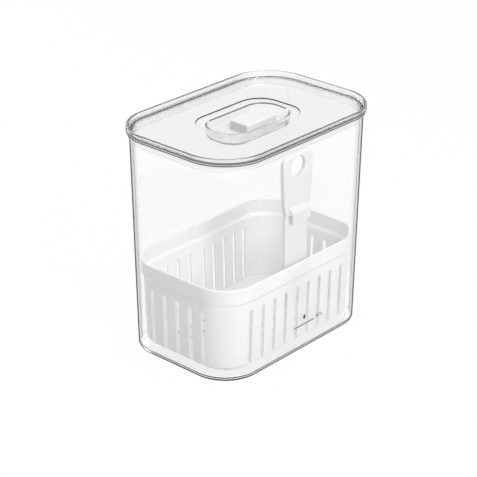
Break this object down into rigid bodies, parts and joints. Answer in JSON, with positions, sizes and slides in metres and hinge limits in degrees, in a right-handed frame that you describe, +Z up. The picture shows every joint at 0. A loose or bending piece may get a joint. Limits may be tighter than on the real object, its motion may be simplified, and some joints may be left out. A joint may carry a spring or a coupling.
{
  "type": "fridge storage container",
  "caption": "Tall clear rectangular fridge keeper with a lift-off lid, a sliding air vent, a white slotted drain basket and an upright lifting handle.",
  "frame": {"origin": "centre of the tub's underside, on the surface it stands on", "axes": "+Z up; +X along the long sides, towards the closed end of the vent; -Y towards the long side with the handle and the fill mark"},
  "size_m": [0.2316, 0.1592, 0.237],
  "materials": {
    "clear_plastic": "clear, polished",
    "white_plastic": "white, softly glossy"
  },
  "bodies": {
    "tub": {"tub": "clear_plastic", "drain_basket": "white_plastic", "lift_handle": "white_plastic"},
    "lid": {"lid": "clear_plastic"},
    "vent_slider": {"vent_slider": "white_plastic"}
  },
  "joints": [
    {"name": "lid_lift", "type": "slide", "parent": "tub", "child": "lid", "axis": [0, 0, 1], "range_m": [0, 0.06]},
    {"name": "vent_slide", "type": "slide", "parent": "lid", "child": "vent_slider", "axis": [-1, 0, 0], "range_m": [0, 0.017]}
  ]
}
